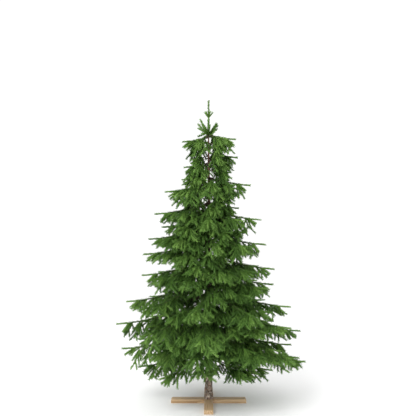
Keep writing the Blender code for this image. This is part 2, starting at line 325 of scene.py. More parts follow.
TINY = 1e-9  # keeps a division from failing
NUDGE = 1e-6  # gives an upright shoot a direction across

# The columns of an array of shoots
START = slice(0, 3)
RUN = slice(3, 6)
SAG, SPREAD, THICKNESS, CLOSENESS, GREEN = range(6, 11)

# Boards
BOARD_EDGE = 0.0012
BOARD_SEGMENTS = 2
BOARD_MERGE = 0.00001
BOARD_FLAT = math.radians(1)
BOARD_CORNER = math.radians(30)
BOARD_SMOOTH = math.radians(35)


def mixed(low, high, share):
    """From low at share 0 to high at share 1."""
    return low + (high - low) * share


def around(chance, most):
    """A draw on both sides of zero."""
    return chance.uniform(-most, most)


# Materials


def put(tree, kind, **settings):
    """A new shader node with these settings."""
    node = tree.nodes.new("ShaderNode" + kind)
    for name, value in settings.items():
        setattr(node, name, value)
    return node


def give(tree, where, value):
    """Links an input to another node's output, or sets it to a value."""
    if isinstance(value, bpy.types.NodeSocket):
        tree.links.new(value, where)
    else:
        where.default_value = value


def feed(tree, node, **inputs):
    """Links or sets inputs, whose names here have _ for a space."""
    for name, value in inputs.items():
        give(tree, node.inputs[name.replace("_", " ")], value)
    return node


def noise_node(tree, vector, scale, detail=4.0, roughness=0.55):
    node = put(tree, "TexNoise")
    feed(tree, node, Vector=vector, Scale=scale, Detail=detail, Roughness=roughness)
    return node


def noise_of(tree, vector, scale, detail=4.0, roughness=0.55):
    return noise_node(tree, vector, scale, detail, roughness).outputs["Fac"]


def stretched(tree, vector, scale):
    node = put(tree, "Mapping")
    feed(tree, node, Vector=vector, Scale=scale)
    return node.outputs["Vector"]


def split(tree, vector, axis):
    node = put(tree, "SeparateXYZ")
    feed(tree, node, Vector=vector)
    return node.outputs[axis]


def ramp(tree, value, low, high, to_low=0.0, to_high=1.0):
    """A value from low to high, turned smoothly into one from to_low to to_high."""
    node = put(tree, "MapRange", interpolation_type="SMOOTHSTEP")
    feed(tree, node, Value=value, From_Min=low, From_Max=high, To_Min=to_low, To_Max=to_high)
    return node.outputs["Result"]


def blended(tree, share, first, second, how="MIX"):
    """Two colours mixed. A Mix node takes colours at sockets 6 and 7 and puts one out at 2."""
    node = put(tree, "Mix", data_type="RGBA", blend_type=how)
    for place, value in ((0, share), (6, first), (7, second)):
        give(tree, node.inputs[place], value)
    return node.outputs[2]


def shaded(tree, colour, shade):
    return blended(tree, 1.0, colour, shade, "MULTIPLY")


def reckoned(tree, how, *values, kind="Math"):
    """What a Math node makes of these values."""
    node = put(tree, kind, operation=how)
    for place, value in enumerate(values):
        give(tree, node.inputs[place], value)
    return node.outputs[0]


def new_group(name, inputs, outputs):
    """A node group with its sockets, and what it is given and puts out."""
    group = bpy.data.node_groups.new(name, "ShaderNodeTree")
    for label, kind, value in inputs:
        made = group.interface.new_socket(name=label, in_out="INPUT", socket_type=kind)
        if value is not None:
            made.default_value = value
    for label, kind in outputs:
        group.interface.new_socket(name=label, in_out="OUTPUT", socket_type=kind)
    given = group.nodes.new("NodeGroupInput").outputs
    return group, given, group.nodes.new("NodeGroupOutput")


def bark_group():
    """Small plates between dark cracks, with pale patches of dry skin."""
    group, given, out = new_group(
        "bark plates",
        (
            ("Vector", "NodeSocketVector", None),
            ("Plate Size", "NodeSocketFloat", 0.012),
            ("Plate", "NodeSocketColor", (0.20, 0.15, 0.11, 1.0)),
            ("Crack", "NodeSocketColor", (0.04, 0.028, 0.02, 1.0)),
            ("Patch", "NodeSocketColor", (0.36, 0.33, 0.29, 1.0)),
            ("Patchiness", "NodeSocketFloat", 0.5),
        ),
        (
            ("Colour", "NodeSocketColor"),
            ("Height", "NodeSocketFloat"),
            ("Roughness", "NodeSocketFloat"),
        ),
    )
    fineness = reckoned(group, "DIVIDE", 1.0, given["Plate Size"])
    long_way = stretched(group, given["Vector"], (1.0, 1.0, 0.55))
    wander = noise_node(group, long_way, scale=60.0, detail=2.0, roughness=0.5).outputs["Color"]
    wandering = (0.010, 0.010, 0.010)
    bent = reckoned(group, "MULTIPLY_ADD", wander, wandering, long_way, kind="VectorMath")
    cells = put(group, "TexVoronoi", feature="DISTANCE_TO_EDGE")
    feed(group, cells, Vector=bent, Scale=fineness)
    plates = ramp(group, cells.outputs["Distance"], low=0.02, high=0.22)
    grit = noise_of(group, given["Vector"], scale=900.0, detail=3.0)
    mottle = noise_of(group, given["Vector"], scale=75.0, detail=5.0, roughness=0.65)
    patches = ramp(group, mottle, low=0.50, high=0.66)
    body = blended(group, plates, given["Crack"], given["Plate"])
    patchy = reckoned(group, "MULTIPLY", patches, given["Patchiness"])
    body = blended(group, patchy, body, given["Patch"])
    tone = shaded(group, body, ramp(group, grit, low=0.3, high=0.7, to_low=0.72, to_high=1.25))
    rough = ramp(group, plates, low=0.0, high=1.0, to_low=0.98, to_high=0.82)
    grit_height = 0.25
    group.links.new(tone, out.inputs["Colour"])
    group.links.new(reckoned(group, "MULTIPLY_ADD", grit, grit_height, plates), out.inputs["Height"])
    group.links.new(rough, out.inputs["Roughness"])
    return group


def wood_group():
    """Sawn softwood along local X: growth bands across Y, fibres and a few darker streaks."""
    group, given, out = new_group(
        "sawn wood",
        (
            ("Vector", "NodeSocketVector", None),
            ("Band", "NodeSocketFloat", 0.009),
            ("Early", "NodeSocketColor", (0.62, 0.44, 0.26, 1.0)),
            ("Late", "NodeSocketColor", (0.40, 0.24, 0.11, 1.0)),
        ),
        (
            ("Colour", "NodeSocketColor"),
            ("Height", "NodeSocketFloat"),
            ("Roughness", "NodeSocketFloat"),
        ),
    )
    long_way = stretched(group, given["Vector"], (0.06, 1.0, 1.0))
    drift = noise_of(group, long_way, scale=9.0, detail=3.0)
    drift_in_bands = 9.0
    place = reckoned(group, "DIVIDE", split(group, given["Vector"], "Y"), given["Band"])
    place = reckoned(group, "ADD", place, reckoned(group, "MULTIPLY", drift, drift_in_bands))
    bands = ramp(group, reckoned(group, "FRACT", place), low=0.35, high=1.0)
    fibre = noise_of(group, long_way, scale=700.0, detail=3.0)
    body = blended(group, bands, given["Early"], given["Late"])
    tone = shaded(group, body, ramp(group, fibre, low=0.25, high=0.75, to_low=0.82, to_high=1.14))
    rough = ramp(group, fibre, low=0.2, high=0.8, to_low=0.52, to_high=0.72)
    group.links.new(tone, out.inputs["Colour"])
    group.links.new(reckoned(group, "ADD", fibre, bands), out.inputs["Height"])
    group.links.new(rough, out.inputs["Roughness"])
    return group


def new_material(name):
    material = bpy.data.materials.new(name)
    material.use_nodes = True
    tree = material.node_tree
    return material, tree, tree.nodes["Principled BSDF"]


def grained(tree, shader, group, vector, bump, values):
    """Puts a grain group between the coordinates and the shader, and gives its colour."""
    grain = put(tree, "Group")
    grain.node_tree = group
    feed(tree, grain, Vector=vector)
    for name, value in values.items():
        grain.inputs[name].default_value = value
    rise = put(tree, "Bump")
    feed(tree, rise, Height=grain.outputs["Height"], Strength=BUMP_STRENGTH, Distance=bump)
    feed(tree, shader, Roughness=grain.outputs["Roughness"], Normal=rise.outputs["Normal"])
    return grain.outputs["Colour"]


def object_place(tree):
    return put(tree, "TexCoord").outputs["Object"]


def trunk_bark(group):
    """Grey and mottled at the foot, thinner and redder up in the crown."""
    material, tree, shader = new_material("trunk_bark")
    place = object_place(tree)
    values = {
        "Plate Size": 0.0085,
        "Plate": (0.290, 0.230, 0.180, 1.0),
        "Crack": (0.085, 0.062, 0.048, 1.0),
        "Patch": (0.560, 0.500, 0.430, 1.0),
        "Patchiness": 0.85,
    }
    old_tint = (1.0, 1.0, 1.0, 1.0)
    young_tint = (0.62, 0.42, 0.36, 1.0)
    rust_colour = (0.210, 0.105, 0.066, 1.0)
    colour = grained(tree, shader, group, place, TRUNK_BUMP, values)
    height = split(tree, place, "Z")
    young = ramp(tree, height, low=0.35, high=1.5)
    wood = shaded(tree, colour, blended(tree, young, old_tint, young_tint))
    long_way = stretched(tree, place, (1.0, 1.0, 0.6))
    blotches = noise_of(tree, long_way, scale=48.0, detail=3.0, roughness=0.6)
    wood = shaded(tree, wood, ramp(tree, blotches, low=0.38, high=0.62, to_low=0.50, to_high=1.70))
    upside_down = stretched(tree, place, (1.0, 1.0, -0.7))
    rusty = noise_of(tree, upside_down, scale=44.0, detail=2.0)
    rust = ramp(tree, rusty, low=0.52, high=0.62, to_low=0.0, to_high=0.7)
    wood = blended(tree, rust, wood, rust_colour)
    this_year = ramp(tree, height, *LEADER_GREENS)
    feed(tree, shader, Base_Color=blended(tree, this_year, wood, LEADER_BARK))
    return material


def twig_bark(group):
    material, tree, shader = new_material("twig_bark")
    values = {
        "Plate Size": 0.006,
        "Plate": (0.110, 0.088, 0.050, 1.0),
        "Crack": (0.045, 0.036, 0.022, 1.0),
        "Patch": (0.190, 0.170, 0.110, 1.0),
        "Patchiness": 0.45,
    }
    colour = grained(tree, shader, group, object_place(tree), TWIG_BUMP, values)
    feed(tree, shader, Base_Color=colour)
    return material


def board_wood(group, name, turn):
    """Wood whose grain runs along a board that is turned this far from X."""
    material, tree, shader = new_material(name)
    turned_place = put(tree, "Mapping")
    feed(tree, turned_place, Vector=object_place(tree), Rotation=(0.0, 0.0, -turn))
    vector = turned_place.outputs["Vector"]
    colour = grained(tree, shader, group, vector, BOARD_BUMP, {"Band": BOARD_BAND})
    feed(tree, shader, Base_Color=colour)
    return material


def needle_green(number, colour):
    material, _, shader = new_material(f"needle_green_{number}")
    shader.inputs["Base Color"].default_value = (*colour, 1.0)
    shader.inputs["Roughness"].default_value = NEEDLE_ROUGHNESS
    shader.inputs["Specular IOR Level"].default_value = NEEDLE_SPECULAR
    return material


# The frame's trunk and boughs, read back from their corners


def corners_of(node):
    return np.array([corner.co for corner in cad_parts[node].data.vertices])


def trunk_stations():
    """Height, middle and radius of each ring of the trunk."""
    corners = corners_of("trunk")
    stations = []
    for height in sorted(set(np.round(corners[:, 2], RING_DECIMALS))):
        ring = corners[np.abs(corners[:, 2] - height) < RING_CORNERS]
        ring = ring[:, :2]
        middle = (ring.min(0) + ring.max(0)) / 2
        stations.append((float(height), *middle, float(np.hypot(*(ring - middle).T).max())))
    return np.array(stations)


STATIONS = trunk_stations()
CUT = float(STATIONS[0, 0])
LEADER_TIP = float(STATIONS[-1, 0])


def trunk_at(height):
    """Middle and radius of the trunk at a height."""
    x, y, radius = (np.interp(height, STATIONS[:, 0], STATIONS[:, i]) for i in (1, 2, 3))
    return Vector((x, y, height)), float(radius)


def crown_tips(node):
    """The tips in the rim of a mass of foliage."""
    corners = corners_of(node)
    turn = np.arctan2(corners[:, 1], corners[:, 0])
    reach = np.hypot(corners[:, 0], corners[:, 1])
    tips = []
    for number in np.argsort(-reach):
        if reach[number] < TIP_LEAST * reach.max():
            break
        away = np.abs((turn - turn[number] + math.pi) % (2 * math.pi) - math.pi)
        if (reach[away < TIP_WINDOW] > reach[number] + TIP_EVEN).any():
            continue
        near = (away < TIP_TURN) & (reach > reach[number] - TIP_DEPTH)
        tip = Vector(corners[near].mean(0))
        if not any((tip - other).length < TIP_APART for other in tips):
            tips.append(tip)
    return tips


def limb_root(node):
    """Height at which a bough of the frame leaves the trunk, and its thickness there."""
    corners = corners_of(node)
    out = np.abs(corners[:, 0])
    ring = corners[out < out.min() + LIMB_CORNERS]
    return float(ring[:, 2].mean()), float(np.ptp(ring[:, 1]) / 2)


def tier_of(name):
    """Where the frame says that a tier's boughs start, how thick they are, and their tips."""
    root_height, thickness = limb_root("bough_" + name)
    tips = crown_tips("mass_" + name)
    return root_height, thickness, sorted(tips, key=lambda tip: tip.y)


def reach_of(tips):
    return max(abs(tip.x) for tip in tips)


def outward(tip):
    """The level direction from the trunk to a tip."""
    return Vector((tip.x, tip.y, 0.0)).normalized()


# The branching rule


class Growth:
    """What grows on one side of the tree: woody limbs, and shoots that carry needles."""

    def __init__(self):
        self.limbs = []  # each a line of places and radii
        self.twigs = []
        self.shoots = []
        self.tier_ends = {}  # how many shoots there are after each tier
        self.dip = 0.0  # of the laterals in the tier that grows now
        self.missing = 0.0  # share of its shoots that are left out

    def shoot(self, start, run, sag, green, spread=NEEDLE_SPREAD, thickness=SHOOT_RADIUS, close=1.0):
        self.shoots.append((*start, *run, sag, spread, thickness, close, green))

    def end_tier(self, name):
        self.tier_ends[name] = len(self.shoots)


class Bough:
    """The line of a bough, steep at the trunk and level at its tip."""

    def __init__(self, root, tip, chance):
        self.root = root
        self.tip = tip
        flat = Vector((tip.x - root.x, tip.y - root.y, 0.0))
        self.length = flat.length
        self.out = flat.normalized()
        self.across = self.out.cross(UP)
        self.bow = around(chance, STRAY) * self.length
        self.wave = chance.uniform(0.0, 2 * math.pi)

    def point(self, share):
        place = self.root + self.out * (self.length * share)
        sway = self.bow * math.sin(math.pi * share)
        fading = share * (1 - share) * 4  # 1 in the middle, 0 at both ends
        sway += WAVE * self.length * math.sin(WAVE_TURN * share + self.wave) * fading
        place += self.across * sway
        place.z = self.tip.z + (self.root.z - self.tip.z) * (1.0 - share) ** BEND
        return place

    def heading(self, share):
        onward = self.point(min(share + HEADING_STEP, 1.0))
        return (onward - self.point(share - HEADING_STEP)).normalized()


def turned(heading, side, turn, pitch):
    """A direction that leaves a heading sideways and then dips."""
    flat = Vector((heading.x, heading.y, 0.0)).normalized()
    across = flat.cross(UP) * side
    aside = flat * math.cos(turn) + across * math.sin(turn)
    return aside * math.cos(pitch) - UP * math.sin(pitch)


def green_for(chance, level):
    """The number of a green, from the darkest at level 0 to the lightest at level 1."""
    level += around(chance, GREEN_STRAY)
    return min(int(max(level, 0.0) * len(GREENS)), len(GREENS) - 1)


def grow_lateral(growth, chance, start, heading, side, length, dip, level):
    """A drooping side branch with shoots on both sides, like a hanging comb."""
    turn = LATERAL_TURN + around(chance, LATERAL_TURN_STRAY)
    pitch = math.asin(-heading.z) * LATERAL_FOLLOWS + chance.uniform(*LATERAL_DIP) + dip
    run = turned(heading, side, turn, pitch) * length
    sag = length * chance.uniform(*LATERAL_SAG)

    def point(share):
        return start + run * share - UP * (sag * share * share)

    def radius(share):
        return mixed(LATERAL_RADIUS, LATERAL_TIP_RADIUS, share)

    growth.twigs.append([(point(share), radius(share)) for share in LATERAL_STATIONS])
    needled = 1.0 - LATERAL_BARE
    needled_run = run * needled - UP * (2 * LATERAL_BARE * sag * needled)
    growth.shoot(point(LATERAL_BARE), needled_run, sag * needled**2, green_for(chance, level))
    across = run.cross(UP).normalized()
    steps = max(1, round(length * SHOOTS_OF_LENGTH / SHOOT_STEP))
    for number in range(steps):
        share = SHOOTS_FROM + SHOOTS_OVER * (number + chance.uniform(*SHOOT_PLACES)) / steps
        onward = (run - UP * (2 * sag * share)).normalized()
        for way in (-1.0, 1.0):
            if chance.random() < growth.missing:
                continue
            size = SHOOT_LENGTH * chance.uniform(*SHOOT_SIZES) * mixed(1.0, SHOOT_OUTER, share)
            size = min(size, SHOOT_MOST * length + SHOOT_MOST_MORE)
            turn = SHOOT_TURN + around(chance, SHOOT_TURN_STRAY)
            aim = onward * math.cos(turn) + across * (way * math.sin(turn))
            aim = (aim - UP * chance.uniform(*SHOOT_DROOP)).normalized()
            green = green_for(chance, level + SHOOT_LEVEL * share)
            shoot_sag = size * chance.uniform(*SHOOT_SAG)
            end = point(share) + aim * size
            if end.z > HEM + HEM_RISE * max(-end.y, 0.0):
                growth.shoot(point(share), aim * size, shoot_sag, green)


def lateral_length(share, length, wide):
    """Long in the middle of the bough, short towards both its ends."""
    if share < LATERAL_WIDEST:
        towards_widest = share / LATERAL_WIDEST
    else:
        towards_widest = (1.0 - share) / (1.0 - LATERAL_WIDEST)
    part = mixed(*LATERAL_LENGTHS, towards_widest)
    return max(mixed(*LATERAL_LEAST, share), part * length * wide)


def bough_radius(radius, share):
    return mixed(radius, BOUGH_TIP_RADIUS, share**BOUGH_TAPER)


def grow_limb(growth, bough, radius):
    """The wood of a bough, with a collar at the trunk."""
    stations = max(BOUGH_LEAST_STEPS, round(bough.length / BOUGH_STEP))
    line = []
    for number in range(stations + 1):
        share = number / stations
        collar = radius * COLLAR * max(0.0, 1 - share * bough.length / COLLAR_LENGTH)
        line.append((bough.point(share), bough_radius(radius, share) + collar))
    growth.limbs.append(line)


def grow_bough_needles(growth, chance, bough, radius, stick_from, level):
    """Shoots along the bough itself, in parts up to the stick, and the stick."""
    parts = [part / NEEDLED_PARTS for part in range(NEEDLED_PARTS + 1)]
    joints = [mixed(NEEDLED_FROM, stick_from, part) for part in parts] + [1.0]
    for first, second in zip(joints, joints[1:]):
        start = bough.point(first)
        end = bough.point(second)
        # The sag that takes a shoot through the middle of this part of the bough
        sag = 4.0 * (bough.point((first + second) / 2).z - (start.z + end.z) / 2)
        run = end - start + UP * sag
        if second == 1.0:
            green = green_for(chance, level + STICK_LEVEL)
            growth.shoot(start, run, sag, green, STICK_SPREAD, STICK_RADIUS, CLOSE)
        else:
            thickness = max(SHOOT_RADIUS, NEEDLED_RADIUS * bough_radius(radius, first))
            green = green_for(chance, level + NEEDLED_LEVEL)
            growth.shoot(start, run, sag, green, NEEDLE_SPREAD, thickness, NEEDLED_CLOSE)


def grow_laterals(growth, chance, bough, last, wide, level):
    """Laterals on the two sides in turn, each with one shoot across from it."""
    length = bough.length
    shortness = max(0.0, 1.0 - length / SHORT_BOUGH)
    dip = growth.dip * abs(bough.out.x) + SHORT_DIP * shortness
    steps = max(LEAST_LATERALS, round((last - LATERAL_FROM) * length / LATERAL_STEP))
    side = chance.choice((-1.0, 1.0))
    for number in range(steps):
        along = ((number + chance.uniform(*LATERAL_PLACES)) / steps) ** LATERAL_CROWDING
        share = mixed(LATERAL_FROM, last, along)
        start = bough.point(share)
        heading = bough.heading(share)
        size = lateral_length(share, length, wide) * chance.uniform(*LATERAL_SIZES)
        # The spray's green rises towards the bough's tip: painted shade on the inner sprays, and
        # young growth on the outer ones.
        spray = level + around(chance, SPRAY_STRAY) + SPRAY_RISE * (share - 0.5)
        grow_lateral(growth, chance, start, heading, side, size, dip + OUTER_DIP * share, spray)
        side = -side
        size = min(SHOOT_LENGTH * chance.uniform(*PARTNER_SIZES), PARTNER_MOST * length)
        turn = chance.uniform(*PARTNER_TURNS)
        aim = turned(heading, side, turn, chance.uniform(*PARTNER_PITCHES))
        growth.shoot(start, aim * size, size * PARTNER_SAG, green_for(chance, spray))


def grow_last_shoots(growth, chance, bough, last, level):
    """Shoots round the end of the laterals, before the stick."""
    for number in range(LAST_SHOOTS):
        start = bough.point(last + COMB_END / bough.length * number / LAST_SHOOTS)
        side = (-1.0) ** number
        turn = chance.uniform(*LAST_TURNS)
        aim = turned(bough.heading(last), side, turn, chance.uniform(*LAST_PITCHES))
        size = min(SHOOT_LENGTH * chance.uniform(*LAST_SIZES), LAST_MOST * bough.length)
        growth.shoot(start, aim * size, 0.0, green_for(chance, level + LAST_LEVEL))


def grow_bough(growth, chance, root, tip, radius, wide, level):
    """Wood, needles, laterals and last shoots, in this order, as each draws from chance."""
    bough = Bough(root, tip, chance)
    grow_limb(growth, bough, radius)
    stick_from = 1.0 - min(STICK, STICK_SHARE * bough.length) / bough.length
    grow_bough_needles(growth, chance, bough, radius, stick_from, level)
    last = stick_from - min(COMB_END / bough.length, COMB_END_MOST)
    grow_laterals(growth, chance, bough, last, wide, level)
    grow_last_shoots(growth, chance, bough, last, level)


def grow_from_trunk(growth, chance, height, tip, radius, wide, level):
    """A bough that starts in the trunk, and whose last needles end at the tip."""
    middle, trunk_radius = trunk_at(height)
    out = outward(tip)
    root = middle + out * (trunk_radius * ROOT_SINK)
    grow_bough(growth, chance, root, tip - out * TIP_NEEDLE, radius, wide, level)


def grow_between(growth, chance, tier, below, full, wide):
    """Rows of shorter boughs between a tier and the next one below it."""
    root_height, thickness, tips = tier
    next_root, _, next_tips = below
    main = max(tips, key=lambda tip: abs(tip.x))
    side = math.copysign(1.0, main.x)
    reach = reach_of(tips)
    next_reach = reach_of(next_tips)
    turns = [math.atan2(tip.y, abs(tip.x)) for tip in tips]
    if full:
        turns = [turns[0] - PAST_FRONT, *turns, turns[-1] + PAST_BACK]
    rows = sum(root_height - next_root > least for least in BETWEEN_GAPS)
    for row in range(rows):
        for first, second in zip(turns, turns[1:]):
            turn = mixed(first, second, chance.uniform(*BETWEEN_TURNS))
            part = (row + chance.uniform(*BETWEEN_PLACES)) / rows
            length = mixed(reach, next_reach, part) * chance.uniform(*BETWEEN_REACH)
            height = mixed(root_height, next_root, part)
            tip = Vector((side * length * math.cos(turn), length * math.sin(turn), 0.0))
            tip.z = height - (root_height - main.z) * length / reach * BETWEEN_SLOPE
            tip.z += max(0.0, tips[0].z - main.z) * math.sin(turn) ** 2
            # Darker greens for these inner boughs: painted shade inside the crown.
            level = chance.uniform(*BETWEEN_LEVELS)
            radius = thickness * BETWEEN_THICKNESS
            grow_from_trunk(growth, chance, height, tip, radius, wide, level)


def grow_tier(growth, side, number):
    """The boughs of a tier, then shorter ones between it and the tier below."""
    name = f"{side}_{number:02d}"
    chance = random.Random(f"{SEED} {name}")
    growth.dip = TIER_DIPS.get(name, 0.0)
    growth.missing = mixed(*MISSING, min((number - 1) / MISSING_TIERS, 1.0))
    root_height, thickness, tips = tier_of(name)
    main = max(tips, key=lambda tip: abs(tip.x))
    wide = WIDE_LATERALS.get(len(tips), 1.0)
    for tip in tips:
        if tip.y < -FORWARD and abs(tip.x) > ASIDE:
            tip.z += FRONT_LIFTS.get(name, 0.0)
        height = root_height
        radius = thickness * BOUGH_THICKNESS
        if tip is not main:
            height += around(chance, ROOT_STRAY)
            radius *= SIDE_BOUGH
        level = chance.uniform(*BOUGH_LEVELS)
        grow_from_trunk(growth, chance, height, tip, radius, wide, level)
    if number < TIERS:
        below = tier_of(f"{side}_{number + 1:02d}")
        full = number >= FULL_TIER
        grow_between(growth, chance, (root_height, thickness, tips), below, full, wide)
    growth.end_tier(name)


def grow_top(growth, side):
    """Rising shoots round the leader, like fingers."""
    name = "top_" + side
    chance = random.Random(f"{SEED} {name}")
    for tip in crown_tips("mass_" + name):
        reach = math.hypot(tip.x, tip.y)
        out = outward(tip)
        for rise, share in TOP_FINGERS:
            foot, _ = trunk_at(tip.z - TOP_FOOT + around(chance, TOP_FOOT_STRAY))
            across = out.cross(UP) * around(chance, TOP_ASIDE)
            flat = (out + across).normalized()
            size = (reach + TOP_MORE) * share * chance.uniform(*TOP_SIZES)
            angle = rise + around(chance, TOP_RISE_STRAY)
            run = flat * (math.cos(angle) * size) + UP * (math.sin(angle) * size)
            growth.shoot(foot, run, 0.0, green_for(chance, TOP_LEVEL), close=TOP_CLOSE)
            growth.twigs.append([(foot + run * s, mixed(*TOP_RADII, s)) for s in TOP_STATIONS])
    growth.end_tier(name)


def grow_leader(growth):
    """Needles up the leader and its one small whorl."""
    chance = random.Random("leader")
    low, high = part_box("mass_leader")
    top = high.z - LEADER_END
    height = low.z - LEADER_BELOW
    while height < top - LEADER_LEAST_STEP:
        start, radius = trunk_at(height)
        end, _ = trunk_at(min(height + LEADER_STEP, top))
        green = green_for(chance, LEADER_LEVEL)
        thickness = max(LEADER_LEAST_RADIUS, LEADER_RADIUS * radius)
        spread = STICK_SPREAD * LEADER_SPREAD
        growth.shoot(start, end - start, 0.0, green, spread, thickness, CLOSE * LEADER_CLOSE)
        height += LEADER_STEP
    start, _ = trunk_at(low.z + WHORL_HEIGHT)
    for number in range(WHORL_SHOOTS):
        turn = math.radians(WHORL_TURN + 360 / WHORL_SHOOTS * number)
        out = Vector((math.cos(turn), math.sin(turn), 0.0))
        run = out * (high.x - WHORL_END) + UP * WHORL_RISE
        green = green_for(chance, WHORL_LEVEL)
        growth.shoot(start, run, WHORL_SAG, green, STICK_SPREAD * WHORL_SPREAD, close=CLOSE)
    growth.end_tier("leader")


# Meshes


def new_object(name, data):
    piece = bpy.data.objects.new(name, data)
    bpy.context.scene.collection.objects.link(piece)
    return piece


def only(piece):
    """Selects this object alone."""
    bpy.ops.object.select_all(action="DESELECT")
    piece.select_set(True)
    bpy.context.view_layer.objects.active = piece
    return piece


def finished(piece):
    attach(piece, "root")


def tubes(name, lines, bevel_resolution):
    """Limbs as one mesh, each from a curve that thins along its points, and left selected."""
    curve = bpy.data.curves.new(name, "CURVE")
    curve.dimensions = "3D"
    curve.bevel_depth = 1.0
    curve.bevel_resolution = bevel_resolution
    curve.use_fill_caps = True
    for line in lines:
        spline = curve.splines.new("POLY")
        spline.points.add(len(line) - 1)
        for point, (place, radius) in zip(spline.points, line):
            point.co = (*place, 1.0)
            point.radius = radius
    only(new_object(name, curve))
    bpy.ops.object.convert(target="MESH")
    return bpy.context.view_layer.objects.active


def raise_bark(piece, depth, size):
    """Plates and cracks in the mesh itself, along each corner's normal."""
    mesh = piece.data
    normals = [corner.normal.copy() for corner in mesh.vertices]
    for corner, normal in zip(mesh.vertices, normals):
        spot = Vector((corner.co.x, corner.co.y, corner.co.z * PLATE_FLATTENED)) / size
        nearest, next_nearest = noise.voronoi(spot)[0][:2]
        ridge = min(next_nearest - nearest, PLATE_EDGE) / PLATE_EDGE - CRACK_SHARE
        rough = noise.fractal(spot * ROUGH_SCALE, ROUGH_FALL, ROUGH_STEP, ROUGH_LAYERS)
        relief = ridge * RIDGE_SHARE + rough * ROUGH_SHARE
        corner.co += normal * (depth(corner.co.z) * relief)


def mesh_from(name, corners, faces, greens, materials):
    """An object of triangles from arrays."""
    mesh = bpy.data.meshes.new(name)
    mesh.vertices.add(len(corners))
    mesh.vertices.foreach_set("co", corners.astype(np.float32).ravel())
    mesh.loops.add(faces.size)
    mesh.loops.foreach_set("vertex_index", faces.astype(np.int32).ravel())
    mesh.polygons.add(len(faces))
    mesh.polygons.foreach_set("loop_start", np.arange(0, faces.size, 3, dtype=np.int32))
    mesh.polygons.foreach_set("material_index", greens.astype(np.int32))
    for material in materials:
        mesh.materials.append(material)
    mesh.update(calc_edges=True)
    mesh.validate()
    return new_object(name, mesh)


def column(values):
    """Numbers as a column, to scale the rows of an array with."""
    return np.reshape(values, (-1, 1))


def unit(vectors):
    """The rows of an array, made 1 long."""
    return vectors / np.maximum(np.linalg.norm(vectors, axis=1, keepdims=True), TINY)


def place_on(start, run, sag, share):
    """Places and directions along sagging shoots, with two directions across them."""
    up = np.array(UP)
    place = start + run * column(share) - up * column(sag * share**2)
    along = unit(run - up * column(2 * sag * share))
    across = unit(np.cross(along, up) + NUDGE)
    return place, along, across, np.cross(across, along)


def needles_on(shoots, seed):
    """Corners, faces and greens of the needles round these shoots."""
    rng = np.random.default_rng(seed)
    wanted = np.linalg.norm(shoots[:, RUN], axis=1) * shoots[:, CLOSENESS] * NEEDLES_PER_METRE
    counts = np.maximum(LEAST_NEEDLES, np.round(wanted)).astype(int)
    which = np.repeat(np.arange(len(shoots)), counts)
    order = np.arange(len(which)) - np.repeat(np.cumsum(counts) - counts, counts)
    share = (order + rng.random(len(which))) / counts[which]
    shoots = shoots[which]
    place, along, across, lift = place_on(shoots[:, START], shoots[:, RUN], shoots[:, SAG], share)
    turn = order * NEEDLE_TURN + rng.normal(0.0, NEEDLE_TURN_STRAY, len(which))
    out = across * column(np.cos(turn)) + lift * column(np.sin(turn))
    lean = shoots[:, SPREAD] * (1.0 + rng.normal(0.0, NEEDLE_SPREAD_STRAY, len(which)))
    lean += NEEDLE_OPENING * share**6
    aim = along * column(np.cos(lean)) + out * column(np.sin(lean))
    aim = unit(aim + np.array(UP) * NEEDLE_LIFT)
    flat = unit(np.cross(aim, out))
    roll = column(rng.normal(0.0, NEEDLE_ROLL, len(which)))
    width = flat * np.cos(roll) + np.cross(flat, aim) * np.sin(roll)
    length = NEEDLE_LENGTH * rng.uniform(*NEEDLE_SIZES, len(which))
    length *= 1.0 - NEEDLE_SHORTER * share**4
    base = place + out * column(shoots[:, THICKNESS] * NEEDLE_SINK)
    tip = base + aim * column(length)
    foot, end = (width * (NEEDLE_HALF_WIDTH * part) for part in NEEDLE_ENDS)
    corners = np.stack([base - foot, base + foot, tip + end, tip - end], axis=1)
    first = 4 * column(np.arange(len(which)))
    faces = np.concatenate([first + [0, 1, 2], first + [0, 2, 3]], axis=1)
    return corners.reshape(-1, 3), faces.reshape(-1, 3), np.repeat(shoots[:, GREEN], 2)


def stem_faces():
    """Faces of one stem, whose corners are two rings and a tip."""
    tip = STEM_SIDES * len(STEM_RINGS)
    faces = [tuple(reversed(range(STEM_SIDES)))]
    for corner in range(STEM_SIDES):
        following = (corner + 1) % STEM_SIDES
        upper = STEM_SIDES + corner
        upper_following = STEM_SIDES + following
        faces.append((corner, following, upper_following))
        faces.append((corner, upper_following, upper))
        faces.append((upper, upper_following, tip))
    return np.array(faces)


def stems_of(shoots):
    """A thin stem in each shoot, with flat sides and a pointed end."""
    start, run, sag = shoots[:, START], shoots[:, RUN], shoots[:, SAG]
    thickness = np.minimum(shoots[:, THICKNESS], SHOOT_RADIUS) * STEM_THICKNESS
    tip = STEM_SIDES * len(STEM_RINGS)
    corners = np.empty((len(shoots), tip + 1, 3))
    for ring, share in enumerate(STEM_RINGS):
        place, _, across, lift = place_on(start, run, sag, share)
        for corner in range(STEM_SIDES):
            turn = 2 * math.pi * corner / STEM_SIDES + STEM_TURN
            out = across * math.cos(turn) + lift * math.sin(turn)
            corners[:, STEM_SIDES * ring + corner] = place + out * column(thickness)
    corners[:, tip] = start + run * STEM_END - np.array(UP) * column(sag)
    pattern = stem_faces()
    first = (tip + 1) * np.arange(len(shoots)).reshape(-1, 1, 1)
    greens = np.repeat(shoots[:, GREEN], len(pattern))
    return corners.reshape(-1, 3), (first + pattern).reshape(-1, 3), greens


# Pieces


